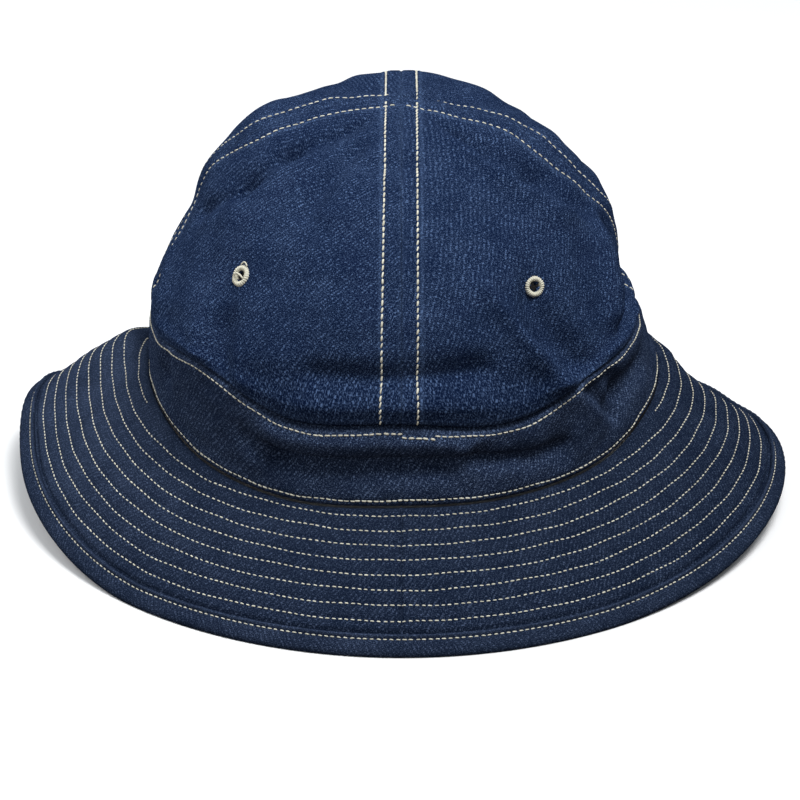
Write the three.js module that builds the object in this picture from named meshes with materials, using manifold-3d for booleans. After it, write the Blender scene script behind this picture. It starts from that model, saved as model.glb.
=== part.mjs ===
// A soft denim military hat standing on its brim. Millimetres, +Z up, the front faces -Y.
// Azimuth runs from the front (0) over the right side (+X, 90 degrees) and the back (180 degrees)
// to the left side (-X, 270 or -90 degrees), left and right as seen from the front.
// Station runs down a piece from 0 at its upper edge to 1 at its lower edge.
import * as THREE from 'three';
import Module from 'manifold-3d';

// Cloth thicknesses and the clearance between sewn pieces
const CROWN_WALL = 1.2;
const BAND_WALL = 1.4;
const BRIM_WALL = 1.6;
const BINDING_WALL = 1.0;
const GAP = 0.3;

// Width of the edge binding over the brim and depth of the slot the brim edge sits in
const BINDING_WIDTH = 7.6;
const SLOT_END = 2.4;

// Moves the hat so that its outline is centred on the origin
const CENTRE = [0.4, 0];

// Rings of the hat: distance from the axis and height above the floor in eight directions
// columns: front, front_right, right, back_right, back, back_left, left, front_left
// The band's seams climb steeply beside the buckled front, so their heights have a second row of
// columns for the directions half way on from each of these.
const RINGS = {
  top_crown: {
    reach: [42, 43, 44.5, 47, 50, 45, 42.5, 41],
    height: [136, 136.5, 138, 139, 140, 140, 141, 137],
  },
  shoulder: {
    reach: [70, 69, 69.5, 72, 73, 70, 65, 67],
    height: [120, 119, 115, 119, 123, 122, 122, 120],
  },
  mid_crown: {
    reach: [87, 84, 76, 84, 89, 83, 75.5, 82],
    height: [101, 100, 97, 101, 103, 103, 102, 101],
  },
  low_crown: {
    reach: [95, 92, 79, 88, 96, 90, 84.5, 93],
    height: [82, 82, 85, 84, 83, 85, 86, 84],
  },
  band_top: {
    reach: [97, 96.5, 83.5, 91, 97, 93, 89.5, 96.5],
    height: [62.5, 71.5, 72, 72, 66, 71, 70.5, 72.5],
    half_way: [60.3, 74, 71, 69, 68, 71, 70.5, 61],
  },
  band_bottom: {
    reach: [98, 96, 93.5, 95.5, 98, 94, 91.5, 95],
    height: [34, 36.3, 46, 43, 35, 39, 47, 36],
    half_way: [34, 43.5, 46.5, 37, 36, 43, 44.5, 32.5],
  },
  rim: {
    reach: [141, 139, 140.5, 134.5, 141, 138, 139, 138.5],
    height: [-1.5, 2, 10, 0.5, -1.5, 2, 15, 1],
  },
};
const CROWN_RINGS = ['top_crown', 'shoulder', 'mid_crown', 'low_crown', 'band_top'];
const CROWN_TOP = 144.7;

// Lean of the side seams towards the front in degrees, at even stations from the top to the band
const SEAM_LEAN = {
  right: [17, 17, 17, 13.5, 6, 1, 0, 0, 0],
  left: [10, 11.5, 10.5, 0, -4, -1, 0, 0, 0],
};

// Height of the brim's upper face at its edge where the binding under it rests on the floor
const REST = 0.4;

// The crown cloth puffs out a little just above the band seam
const PUFF = { station: 0.95, spread: 0.05, out: 1.6 };

// Folds and dents, one row each: ends as [azimuth in degrees, station], half width and
// movement out of the surface in millimetres (negative is a dent)
const CROWN_FOLDS = [
  { name: 'left_valley_upper', from: [-44, 0.105], to: [-59, 0.236], half_width: 6, out: -2.6 },
  { name: 'left_valley_middle', from: [-59, 0.236], to: [-64, 0.36], half_width: 6, out: -3 },
  { name: 'left_valley_lower', from: [-64, 0.36], to: [-77, 0.5], half_width: 6, out: -3 },
  { name: 'left_soft_dent', from: [-25, 0.16], to: [-30, 0.37], half_width: 5, out: -2.4 },
  { name: 'left_soft_ridge', from: [-17, 0.2], to: [-22, 0.36], half_width: 5, out: 1.2 },
  { name: 'right_dent_upper', from: [39, 0.13], to: [69, 0.28], half_width: 9, out: -5.5 },
  { name: 'right_dent_lower', from: [67, 0.28], to: [77, 0.43], half_width: 8, out: -3.5 },
  { name: 'right_ridge_upper', from: [29, 0.11], to: [34, 0.2], half_width: 6, out: 2 },
  { name: 'right_ridge_lower', from: [35, 0.22], to: [48, 0.39], half_width: 6, out: 2 },
  { name: 'front_dimple', from: [-16, 0.215], to: [5, 0.204], half_width: 5, out: -2.2 },
  { name: 'front_crease', from: [-17, 0.845], to: [16, 0.822], half_width: 5.5, out: -3.2 },
  { name: 'front_roll', from: [-17, 0.915], to: [15, 0.9], half_width: 5, out: 1.2 },
  { name: 'left_dent', from: [-41, 0.79], to: [-39, 0.96], half_width: 6, out: -4 },
  { name: 'left_small_ridge', from: [-48, 0.82], to: [-46, 0.93], half_width: 4, out: 1.5 },
  { name: 'left_side_ridge', from: [-80, 0.72], to: [-70, 0.86], half_width: 5, out: 2 },
  { name: 'right_diagonal_ridge', from: [21, 0.56], to: [36, 0.95], half_width: 6, out: 2.5 },
  { name: 'right_diagonal_valley', from: [31, 0.62], to: [41, 0.93], half_width: 6, out: -4.5 },
  { name: 'right_side_ridge', from: [60, 0.56], to: [53, 0.74], half_width: 6, out: 2.5 },
  { name: 'right_side_valley', from: [72, 0.58], to: [68, 0.78], half_width: 7, out: -4 },
  { name: 'right_back_dent', from: [120, 0.55], to: [135, 0.85], half_width: 9, out: -3 },
  { name: 'back_left_dent', from: [-150, 0.3], to: [-125, 0.6], half_width: 10, out: -3 },
  { name: 'right_back_flat', from: [125, 0.1], to: [118, 0.33], half_width: 21, out: -4 },
  { name: 'right_notch', from: [84, 0.82], to: [106, 0.86], half_width: 8, out: -4 },
  { name: 'left_full_side', from: [-100, 0.25], to: [-100, 0.45], half_width: 15, out: 1.5 },
  { name: 'back_left_flat', from: [-150, 0.1], to: [-130, 0.2], half_width: 14, out: -1.5 },
  { name: 'back_crease', from: [165, 0.86], to: [200, 0.84], half_width: 6, out: -2 },
];
const BAND_FOLDS = [
  { name: 'front_buckle', from: [-26, 0.5], to: [9, 0.47], half_width: 5, out: -5 },
  { name: 'right_buckle', from: [15, 0.38], to: [34, 0.58], half_width: 4, out: -3.5 },
  { name: 'front_roll', from: [-26, 0.22], to: [12, 0.2], half_width: 5, out: 2.2 },
  { name: 'right_dent_upper', from: [47, 0.1], to: [53, 0.43], half_width: 4.5, out: -2.5 },
  { name: 'right_dent_lower', from: [53, 0.43], to: [66, 0.45], half_width: 5, out: -4 },
  { name: 'left_dimple', from: [-60, 0.12], to: [-61, 0.38], half_width: 5, out: -2.8 },
  { name: 'back_buckle', from: [160, 0.5], to: [205, 0.55], half_width: 5, out: -2 },
];
const BRIM_FOLDS = [
  { name: 'left_crest', from: [-104, 0.1], to: [-104, 1], half_width: 26, out: 8.5 },
  { name: 'right_crest', from: [100, 0.1], to: [102, 0.14], half_width: 9, out: 3 },
  { name: 'right_sink', from: [103, 0.38], to: [107, 0.58], half_width: 14, out: -8 },
  { name: 'back_left_dip', from: [-135, 0.5], to: [-135, 0.9], half_width: 25, out: -1.5 },
];
const BRIM_BULGE = 1.5;

// Turned section of a thread eyelet
const EYELET = { flange: 4.5, barrel: 2.9, hole: 1.9, lip: 0.8 };

// Colours of the denim and of the thread
const DENIM = 0x2a3b5a;
const DENIM_SHADE = 0x27303f;
const THREAD = 0xd6d2be;

// Fineness of the faceted cloth
const PANEL_COLUMNS = 14;
const PANEL_ROWS = 18;
const RING_COLUMNS = 72;
const BAND_ROWS = 5;
const BRIM_ROWS = 6;
const EYELET_SIDES = 12;

const rad = THREE.MathUtils.degToRad;

// Smooth curve value between p1 and p2, guided by their neighbours
function cubic(p0, p1, p2, p3, u) {
  const a = (p2 - p0) * u;
  const b = (2 * p0 - 5 * p1 + 4 * p2 - p3) * u * u;
  const c = (3 * p1 - p0 - 3 * p2 + p3) * u * u * u;
  return 0.5 * (2 * p1 + a + b + c);
}

// Value at an azimuth from values standing evenly round the hat
function around(values, azimuth) {
  const count = values.length;
  const turn = azimuth / (2 * Math.PI / count);
  const k = Math.floor(turn);
  const at = (n) => values[(((k + n) % count) + count) % count];
  return cubic(at(-1), at(0), at(1), at(2), turn - k);
}

// Value at a station from values standing evenly down a piece
function downward(values, station) {
  const spans = values.length - 1;
  const k = Math.min(Math.floor(station * spans), spans - 1);
  const at = (n) => values[Math.min(Math.max(k + n, 0), spans)];
  return cubic(at(-1), at(0), at(1), at(2), station * spans - k);
}

// Azimuth of the crown seam that stands at a quarter turn, given in degrees
function seamAzimuth(quarter, station) {
  const lean = { 90: -downward(SEAM_LEAN.right, station), 270: downward(SEAM_LEAN.left, station) };
  return rad(quarter + (lean[quarter] ?? 0));
}

function ringHeight(name, azimuth) {
  const { height, half_way: halfWay } = RINGS[name];
  return around(halfWay ? height.flatMap((h, i) => [h, halfWay[i]]) : height, azimuth);
}

function ringPoint(name, azimuth) {
  const reach = around(RINGS[name].reach, azimuth);
  const height = Math.max(ringHeight(name, azimuth), REST);
  return new THREE.Vector3(reach * Math.sin(azimuth), -reach * Math.cos(azimuth), height);
}

// Crown before folding: a smooth meridian from the top point through the crown rings
function crownForm(azimuth, station) {
  const reach = [-around(RINGS.top_crown.reach, azimuth + Math.PI), 0];
  const height = [ringHeight('top_crown', azimuth + Math.PI), CROWN_TOP];
  for (const name of CROWN_RINGS) {
    reach.push(around(RINGS[name].reach, azimuth));
    height.push(ringHeight(name, azimuth));
  }
  const last = reach.length - 1;
  reach.push(2 * reach[last] - reach[last - 1]);
  height.push(2 * height[last] - height[last - 1]);
  const along = station * CROWN_RINGS.length;
  const k = Math.min(Math.max(Math.floor(along), 0), CROWN_RINGS.length - 1);
  const r = cubic(reach[k], reach[k + 1], reach[k + 2], reach[k + 3], along - k);
  const z = cubic(height[k], height[k + 1], height[k + 2], height[k + 3], along - k);
  return new THREE.Vector3(r * Math.sin(azimuth), -r * Math.cos(azimuth), z);
}

function bandForm(azimuth, station) {
  return ringPoint('band_top', azimuth).lerp(ringPoint('band_bottom', azimuth), station);
}

function brimForm(azimuth, station) {
  return ringPoint('band_bottom', azimuth).lerp(ringPoint('rim', azimuth), station);
}

// Outward direction of a surface at a point
function outward(form, azimuth, station) {
  const s = Math.max(station, 0.004);
  const step = 0.002;
  const down = form(azimuth, s + step).sub(form(azimuth, s - step));
  const across = form(azimuth + step, s).sub(form(azimuth - step, s));
  return down.cross(across).normalize();
}

// Sum of the folds at a point, each fading with distance from its line
function foldOut(form, folds, azimuth, station) {
  let out = 0;
  for (const fold of folds) {
    const middle = rad((fold.from[0] + fold.to[0]) / 2);
    const level = (fold.from[1] + fold.to[1]) / 2;
    const girth = form(middle + 0.01, level).distanceTo(form(middle - 0.01, level)) / 0.02;
    const drop = form(middle, level + 0.01).distanceTo(form(middle, level - 0.01)) / 0.02;
    const turn = Math.atan2(Math.sin(azimuth - middle), Math.cos(azimuth - middle));
    const half = [rad(fold.to[0] - fold.from[0]) * girth / 2, (fold.to[1] - fold.from[1]) * drop / 2];
    const place = [turn * girth, (station - level) * drop];
    const size = half[0] * half[0] + half[1] * half[1];
    const share = size > 0 ? (place[0] * half[0] + place[1] * half[1]) / size : 0;
    const held = Math.min(Math.max(share, -1), 1);
    const away = Math.hypot(place[0] - held * half[0], place[1] - held * half[1]);
    out += fold.out * Math.exp(-((away / fold.half_width) ** 2));
  }
  return out;
}

// Crown, band and brim with their folds
function crown(azimuth, station) {
  const puff = PUFF.out * Math.exp(-(((station - PUFF.station) / PUFF.spread) ** 2));
  const fade = Math.min(1, 14 * (1 - station));
  const out = (puff + foldOut(crownForm, CROWN_FOLDS, azimuth, station)) * fade;
  return crownForm(azimuth, station).addScaledVector(outward(crownForm, azimuth, station), out);
}

function band(azimuth, station) {
  const out = foldOut(bandForm, BAND_FOLDS, azimuth, station) * Math.min(1, 6 * station, 6 * (1 - station));
  return bandForm(azimuth, station).addScaledVector(outward(bandForm, azimuth, station), out);
}

function brim(azimuth, station) {
  const bulge = BRIM_BULGE * 4 * station * (1 - station);
  const out = bulge + foldOut(brimForm, BRIM_FOLDS, azimuth, station) * Math.min(1, 7 * station);
  return brimForm(azimuth, station).addScaledVector(outward(brimForm, azimuth, station), out);
}

function geometryFrom(points, faces) {
  const geometry = new THREE.BufferGeometry();
  const flat = points.flatMap((p) => [p.x, p.y, p.z]);
  geometry.setAttribute('position', new THREE.Float32BufferAttribute(flat, 3));
  geometry.setIndex(faces);
  return geometry;
}

// Closed cloth shell from matching grids of outside and inside points, indexed [column][row].
// A ring joins its last column to its first; a pole draws row 0 together into one point.
function shell(outside, inside, ring, pole) {
  const columns = outside.length;
  const rows = outside[0].length;
  const spans = ring ? columns : columns - 1;
  const points = [...outside.flat(), ...inside.flat()];
  const place = (i, j) => (pole && j === 0 ? 0 : (i % columns) * rows + j);
  const o = (i, j) => place(i, j);
  const n = (i, j) => place(i, j) + columns * rows;
  const faces = [];
  const face = (a, b, c) => {
    if (a !== b && b !== c && c !== a) {
      faces.push(a, b, c);
    }
  };
  const quad = (a, b, c, d) => {
    face(a, b, c);
    face(a, c, d);
  };
  for (let i = 0; i < spans; i += 1) {
    for (let j = 0; j < rows - 1; j += 1) {
      quad(o(i, j), o(i, j + 1), o(i + 1, j + 1), o(i + 1, j));
      quad(n(i, j), n(i + 1, j), n(i + 1, j + 1), n(i, j + 1));
    }
    quad(o(i, rows - 1), n(i, rows - 1), n(i + 1, rows - 1), o(i + 1, rows - 1));
    if (!pole) {
      quad(o(i, 0), o(i + 1, 0), n(i + 1, 0), n(i, 0));
    }
  }
  if (!ring) {
    for (let j = 0; j < rows - 1; j += 1) {
      quad(o(0, j), n(0, j), n(0, j + 1), o(0, j + 1));
      quad(o(spans, j), o(spans, j + 1), n(spans, j + 1), n(spans, j));
    }
  }
  return geometryFrom(points, faces);
}

// Closed ring from equal sections set one after another round a loop
function loft(sections) {
  const count = sections.length;
  const size = sections[0].length;
  const points = sections.flat();
  const faces = [];
  for (let i = 0; i < count; i += 1) {
    for (let j = 0; j < size; j += 1) {
      const a = i * size + j;
      const b = i * size + ((j + 1) % size);
      const c = ((i + 1) % count) * size + ((j + 1) % size);
      const d = ((i + 1) % count) * size + j;
      faces.push(a, b, c, a, c, d);
    }
  }
  return geometryFrom(points, faces);
}

// Outward direction at the seam of two pieces, shared by both
function seamOut(upper, lower, azimuth) {
  return outward(upper, azimuth, 0.97).add(outward(lower, azimuth, 0.03)).normalize();
}

// One crown panel: the crown from one seam to the next, stood off its neighbours by half the gap
function crownPanel(start) {
  const middle = rad(start + 45);
  const aside = new THREE.Vector3(Math.sign(Math.sin(middle)), -Math.sign(Math.cos(middle)), 0);
  aside.multiplyScalar(GAP / 2);
  const outside = [];
  const inside = [];
  for (let i = 0; i <= PANEL_COLUMNS; i += 1) {
    outside.push([]);
    inside.push([]);
    for (let j = 0; j <= PANEL_ROWS; j += 1) {
      const station = (j / PANEL_ROWS) * 0.997;
      const first = seamAzimuth(start, station);
      const azimuth = first + (seamAzimuth(start + 90, station) - first) * (i / PANEL_COLUMNS);
      const point = crown(azimuth, station).add(aside);
      let normal = outward(crown, azimuth, station);
      if (j === 0) {
        normal = new THREE.Vector3(0, 0, 1);
      } else if (j === PANEL_ROWS) {
        normal = seamOut(crownForm, bandForm, azimuth);
      }
      outside[i].push(point);
      inside[i].push(point.clone().addScaledVector(normal, -CROWN_WALL));
    }
  }
  return shell(outside, inside, false, true);
}

// Hat band: a plain ring between crown and brim
function bandRing() {
  const outside = [];
  const inside = [];
  for (let i = 0; i < RING_COLUMNS; i += 1) {
    const azimuth = 2 * Math.PI * (i / RING_COLUMNS);
    outside.push([]);
    inside.push([]);
    for (let j = 0; j <= BAND_ROWS; j += 1) {
      const station = 0.006 + 0.988 * (j / BAND_ROWS);
      const point = band(azimuth, station);
      let normal = outward(band, azimuth, station);
      if (j === 0) {
        normal = seamOut(crownForm, bandForm, azimuth);
      } else if (j === BAND_ROWS) {
        normal = seamOut(bandForm, brimForm, azimuth);
      }
      outside[i].push(point);
      inside[i].push(point.clone().addScaledVector(normal, -BAND_WALL));
    }
  }
  return shell(outside, inside, true, false);
}

// Frame of the brim edge at an azimuth: tip point, station under the binding's inner edge,
// direction back over the brim and upward normal
function edgeFrame(azimuth) {
  const tip = brim(azimuth, 1);
  const last = 1 - BINDING_WIDTH / brimForm(azimuth, 0).distanceTo(brimForm(azimuth, 1));
  const back = brim(azimuth, last).sub(tip).normalize();
  const up = outward(brim, azimuth, 0.5 + last / 2);
  up.addScaledVector(back, -up.dot(back)).normalize();
  return { tip, last, up, back };
}

// The brim cloth is two layers thick; its outer edge lies in the slot of the binding
function brimRing() {
  const outside = [];
  const inside = [];
  for (let i = 0; i < RING_COLUMNS; i += 1) {
    const azimuth = 2 * Math.PI * (i / RING_COLUMNS);
    const { tip, last, up, back } = edgeFrame(azimuth);
    outside.push([]);
    inside.push([]);
    for (let j = 0; j <= BRIM_ROWS; j += 1) {
      const station = 0.004 + (last - 0.004) * (j / BRIM_ROWS);
      const point = brim(azimuth, station);
      let normal = outward(brim, azimuth, station);
      if (j === 0) {
        normal = seamOut(bandForm, brimForm, azimuth);
      } else if (j === BRIM_ROWS) {
        normal = up;
      }
      outside[i].push(point);
      inside[i].push(point.clone().addScaledVector(normal, -BRIM_WALL));
    }
    const edge = tip.clone().addScaledVector(back, SLOT_END + GAP);
    outside[i].push(edge);
    inside[i].push(edge.clone().addScaledVector(up, -BRIM_WALL));
  }
  return shell(outside, inside, true, false);
}

// Binding: a strip folded over the brim edge, flattened where it rests on the floor.
// Section points are [distance in from the tip, height over the brim's upper face].
function bindingRing() {
  const top = GAP + BINDING_WALL;
  const under = -BRIM_WALL - GAP;
  const low = under - BINDING_WALL;
  const profile = [
    [BINDING_WIDTH, top], [1.6, top], [0.3, top - 0.9], [0, top - 2], [0, under + 1.2], [2.2, low],
    [BINDING_WIDTH, low], [BINDING_WIDTH, under], [SLOT_END, under], [SLOT_END, GAP], [BINDING_WIDTH, GAP],
  ];
  const sections = [];
  for (let i = 0; i < RING_COLUMNS; i += 1) {
    const { tip, up, back } = edgeFrame(2 * Math.PI * (i / RING_COLUMNS));
    sections.push(profile.map(([inward, over]) => {
      const point = tip.clone().addScaledVector(back, inward).addScaledVector(up, over);
      point.z = Math.max(point.z, 0);
      return point;
    }));
  }
  return loft(sections);
}

// Turned ring with a lip on each face of the cloth, grown all round by a clearance
function eyeletSolid(grow) {
  const half = CROWN_WALL / 2;
  const near = half + GAP - grow;
  const far = half + GAP + EYELET.lip + grow;
  const hole = EYELET.hole;
  const profile = [
    [hole, far], [EYELET.flange + grow, far], [EYELET.flange + grow, near], [EYELET.barrel + grow, near],
    [EYELET.barrel + grow, -near], [EYELET.flange + grow, -near], [EYELET.flange + grow, -far], [hole, -far],
  ];
  const sections = [];
  for (let i = 0; i < EYELET_SIDES; i += 1) {
    const turn = 2 * Math.PI * (i / EYELET_SIDES);
    sections.push(profile.map(([r, z]) => new THREE.Vector3(r * Math.cos(turn), r * Math.sin(turn), z)));
  }
  return loft(sections);
}

const wasm = await Module();
wasm.setup();

function toManifold(geometry) {
  const position = geometry.getAttribute('position').array;
  const mesh = new wasm.Mesh({
    numProp: 3,
    vertProperties: new Float32Array(position),
    triVerts: new Uint32Array(geometry.index.array),
  });
  return new wasm.Manifold(mesh);
}

function fromManifold(manifold) {
  const mesh = manifold.getMesh();
  const geometry = new THREE.BufferGeometry();
  geometry.setAttribute('position', new THREE.Float32BufferAttribute(mesh.vertProperties, 3));
  geometry.setIndex(Array.from(mesh.triVerts));
  return geometry;
}

function piece(name, geometry, colour) {
  const material = new THREE.MeshStandardMaterial({ color: colour, roughness: 0.95, metalness: 0 });
  const mesh = new THREE.Mesh(geometry.translate(CENTRE[0], CENTRE[1], 0), material);
  mesh.name = name;
  return mesh;
}

// Crown panels, each with its eyelet let into it
const PANELS = [
  { name: 'crown_front_right', start: 0, eyelet: 'eyelet_front_right', at: [33, 0.575] },
  { name: 'crown_back_right', start: 90, eyelet: 'eyelet_back_right', at: [142, 0.58] },
  { name: 'crown_back_left', start: 180, eyelet: 'eyelet_back_left', at: [218, 0.58] },
  { name: 'crown_front_left', start: 270, eyelet: 'eyelet_front_left', at: [318.5, 0.585] },
];

const hat = new THREE.Group();
hat.name = 'denim_military_hat';
for (const { name, start, eyelet, at } of PANELS) {
  const [azimuth, station] = [rad(at[0]), at[1]];
  const facing = outward(crown, azimuth, station);
  const turn = new THREE.Quaternion().setFromUnitVectors(new THREE.Vector3(0, 0, 1), facing);
  const middle = crown(azimuth, station).addScaledVector(facing, -CROWN_WALL / 2);
  const place = new THREE.Matrix4().compose(middle, turn, new THREE.Vector3(1, 1, 1));
  const core = wasm.Manifold.cylinder(4 * CROWN_WALL, EYELET.barrel, EYELET.barrel, EYELET_SIDES, true);
  const hole = toManifold(eyeletSolid(GAP).applyMatrix4(place)).add(core.transform(place.elements));
  const cloth = toManifold(crownPanel(start)).subtract(hole);
  hat.add(piece(name, fromManifold(cloth), DENIM));
  hat.add(piece(eyelet, eyeletSolid(0).applyMatrix4(place), THREAD));
}
hat.add(piece('hat_band', bandRing(), DENIM_SHADE));
hat.add(piece('brim', brimRing(), DENIM_SHADE));
hat.add(piece('brim_binding', bindingRing(), DENIM_SHADE));

export default hat;
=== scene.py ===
# %% [markdown]
# # A soft denim military hat
# The hat is sewn from four crown panels, a plain band and a wide stitched brim. A strip is folded over
# the brim's edge, and each panel has an eyelet worked in thread. Every piece is a surface computed with
# numpy and stands where the CAD solid stands, since both come from the same table of rings; only folds
# and seams are finer here.

import bpy
import numpy as np
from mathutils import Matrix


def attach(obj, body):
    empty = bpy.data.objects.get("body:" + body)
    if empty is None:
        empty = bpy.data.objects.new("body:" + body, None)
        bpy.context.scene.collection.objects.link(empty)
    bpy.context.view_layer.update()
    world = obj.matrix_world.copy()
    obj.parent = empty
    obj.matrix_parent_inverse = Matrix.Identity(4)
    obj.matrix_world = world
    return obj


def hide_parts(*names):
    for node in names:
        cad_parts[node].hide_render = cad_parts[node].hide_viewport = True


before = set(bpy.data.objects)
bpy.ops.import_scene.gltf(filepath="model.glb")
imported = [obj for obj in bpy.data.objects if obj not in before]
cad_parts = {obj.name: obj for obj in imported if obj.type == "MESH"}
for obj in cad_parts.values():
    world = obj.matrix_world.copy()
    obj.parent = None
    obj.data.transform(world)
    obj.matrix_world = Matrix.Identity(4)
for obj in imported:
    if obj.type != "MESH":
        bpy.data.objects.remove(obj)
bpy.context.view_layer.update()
MM = 0.001
print("CAD nodes:", sorted(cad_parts))

# %% [markdown]
# ## The rings of the hat
# A hat is close to a stack of rings: brim edge, lower and upper seam of the band, and rings up the crown.
# The cloth slumps, so no ring is a circle: each has a reach and a height in eight directions, joined by a
# cubic curve. Sculpting by hand could do the same, but a table is easy to compare with a picture.

# %% Tables of the rings, in millimetres
# columns: front, front_right, right, back_right, back, back_left, left, front_left
# half_way holds the directions half way on from each of these, for the seams that climb beside the front
RINGS = {
    "top_crown": {
        "reach": (42, 43, 44.5, 47, 50, 45, 42.5, 41),
        "height": (136, 136.5, 138, 139, 140, 140, 141, 137),
    },
    "shoulder": {
        "reach": (70, 69, 69.5, 72, 73, 70, 65, 67),
        "height": (120, 119, 115, 119, 123, 122, 122, 120),
    },
    "mid_crown": {
        "reach": (87, 84, 76, 84, 89, 83, 75.5, 82),
        "height": (101, 100, 97, 101, 103, 103, 102, 101),
    },
    "low_crown": {
        "reach": (95, 92, 79, 88, 96, 90, 84.5, 93),
        "height": (82, 82, 85, 84, 83, 85, 86, 84),
    },
    "band_top": {
        "reach": (97, 96.5, 83.5, 91, 97, 93, 89.5, 96.5),
        "height": (62.5, 71.5, 72, 72, 66, 71, 70.5, 72.5),
        "half_way": (60.3, 74, 71, 69, 68, 71, 70.5, 61),
    },
    "band_bottom": {
        "reach": (98, 96, 93.5, 95.5, 98, 94, 91.5, 95),
        "height": (34, 36.3, 46, 43, 35, 39, 47, 36),
        "half_way": (34, 43.5, 46.5, 37, 36, 43, 44.5, 32.5),
    },
    "rim": {
        "reach": (141, 139, 140.5, 134.5, 141, 138, 139, 138.5),
        "height": (-1.5, 2, 10, 0.5, -1.5, 2, 15, 1),
    },
}
# lean of the side seams towards the front in degrees, at even stations from the top to the band
SEAM_LEAN = {
    90: (17, 17, 17, 13.5, 6, 1, 0, 0, 0),
    270: (10, 11.5, 10.5, 0, -4, -1, 0, 0, 0),
}
CROWN_RINGS = ("top_crown", "shoulder", "mid_crown", "low_crown", "band_top")
CROWN_TOP = 144.7
# height of the brim's upper face where the bound edge under it rests on the floor
REST = 0.4
# move that centres the outline on the origin
CENTRE = np.array([0.4, 0.0, 0.0])


def cubic(p0, p1, p2, p3, u):
    """Smooth curve from p1 to p2 whose slopes follow the neighbours p0 and p3."""
    slope = (p2 - p0) * u
    bend = (2 * p0 - 5 * p1 + 4 * p2 - p3) * u**2
    twist = (3 * p1 - p0 - 3 * p2 + p3) * u**3
    return 0.5 * (2 * p1 + slope + bend + twist)


def grids(azimuth, station):
    """Azimuths and stations as arrays of one common shape."""
    return np.broadcast_arrays(np.asarray(azimuth, float), np.asarray(station, float))


def unit(vectors):
    """Vectors brought to length 1."""
    return vectors / np.linalg.norm(vectors, axis=-1, keepdims=True)


def arc_lengths(points):
    """Length along a path from its start to each of its points."""
    steps = np.linalg.norm(np.diff(points, axis=0), axis=1)
    return np.concatenate([[0], np.cumsum(steps)])


def full_turn(count):
    """Angles evenly once round, without the repeated end."""
    return np.linspace(0, 2 * np.pi, count, endpoint=False)


def around(values, azimuth):
    """Value at an azimuth, from values that stand evenly round the hat."""
    v = np.asarray(values, float)
    n = len(v)
    turn = np.asarray(azimuth, float) / (2 * np.pi / n)
    k = np.floor(turn).astype(int)
    return cubic(v[(k - 1) % n], v[k % n], v[(k + 1) % n], v[(k + 2) % n], turn - k)


def downward(values, station):
    """Value at a station, from values that stand evenly down a piece."""
    v = np.pad(np.asarray(values, float), 1, mode="edge")
    spans = len(values) - 1
    turn = np.clip(station, 0, 1) * spans
    k = np.minimum(np.floor(turn).astype(int), spans - 1)
    return cubic(v[k], v[k + 1], v[k + 2], v[k + 3], turn - k)


def seam_azimuth(quarter, station):
    """Azimuth of a crown seam: the side seams lean forward, the front and back seams stand straight."""
    lean = downward(SEAM_LEAN.get(quarter % 360, (0, 0)), station)
    return np.radians(quarter + np.where(quarter % 360 == 90, -lean, lean))


def ring_height(name, azimuth):
    """Height of a ring, from its eight columns or from those and the eight half way between them."""
    ring = RINGS[name]
    values = ring["height"]
    if "half_way" in ring:
        values = np.stack([ring["height"], ring["half_way"]], -1).ravel()
    return around(values, azimuth)


def place(reach, azimuth, height):
    """Point at a reach from the axis: azimuth 0 is the front (-Y), a quarter turn is +X."""
    return np.stack([reach * np.sin(azimuth), -reach * np.cos(azimuth), height], -1)


def ring_point(name, azimuth):
    """Point of a ring, never lower than where the bound edge rests on the floor."""
    height = np.maximum(ring_height(name, azimuth), REST)
    return place(around(RINGS[name]["reach"], azimuth), azimuth, height)


print("brim edge at the front:", ring_point("rim", np.array([0.0]))[0])

# %% [markdown]
# ## Smooth forms of crown, band and brim
# Each cloth part is a function of two numbers: the azimuth round the hat and a station from 0 at its
# upper edge to 1 at its lower edge. The crown is a cubic curve from the top through its rings. Band and
# brim are straight from ring to ring, like the flat strips they are cut from.

# %% Forms without folds
def crown_form(azimuth, station):
    """Meridian through the crown rings, started from the opposite side so that the top is smooth."""
    azimuth, station = grids(azimuth, station)
    far = azimuth + np.pi
    reach = [-around(RINGS["top_crown"]["reach"], far), np.zeros_like(azimuth)]
    height = [ring_height("top_crown", far), np.full_like(azimuth, CROWN_TOP)]
    for name in CROWN_RINGS:
        reach.append(around(RINGS[name]["reach"], azimuth))
        height.append(ring_height(name, azimuth))
    reach.append(2 * reach[-1] - reach[-2])
    height.append(2 * height[-1] - height[-2])
    along = station * len(CROWN_RINGS)
    k = np.clip(np.floor(along).astype(int), 0, len(CROWN_RINGS) - 1)
    r = [np.take_along_axis(np.stack(reach), (k + j)[None], 0)[0] for j in range(4)]
    z = [np.take_along_axis(np.stack(height), (k + j)[None], 0)[0] for j in range(4)]
    return place(cubic(*r, along - k), azimuth, cubic(*z, along - k))


def between(upper, lower):
    """Straight strip from one ring to another."""

    def form(azimuth, station):
        azimuth, station = grids(azimuth, station)
        top = ring_point(upper, azimuth)
        return top + (ring_point(lower, azimuth) - top) * station[..., None]

    return form


band_form = between("band_top", "band_bottom")
brim_form = between("band_bottom", "rim")


def outward(form, azimuth, station):
    """Unit normal: cross product of a small step down the cloth and a small step across it."""
    step = 0.002
    s = np.maximum(station, 2 * step)
    down = form(azimuth, s + step) - form(azimuth, s - step)
    across = form(azimuth + step, s) - form(azimuth - step, s)
    return unit(np.cross(down, across))


def moved(form, azimuth, station, out):
    """Points of a form moved out along its normal."""
    return form(azimuth, station) + outward(form, azimuth, station) * out[..., None]


print("crown top:", crown_form(0.0, 0.0))
print("from band to brim edge at the front:", brim_form(0.0, 1.0) - brim_form(0.0, 0.0))

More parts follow.
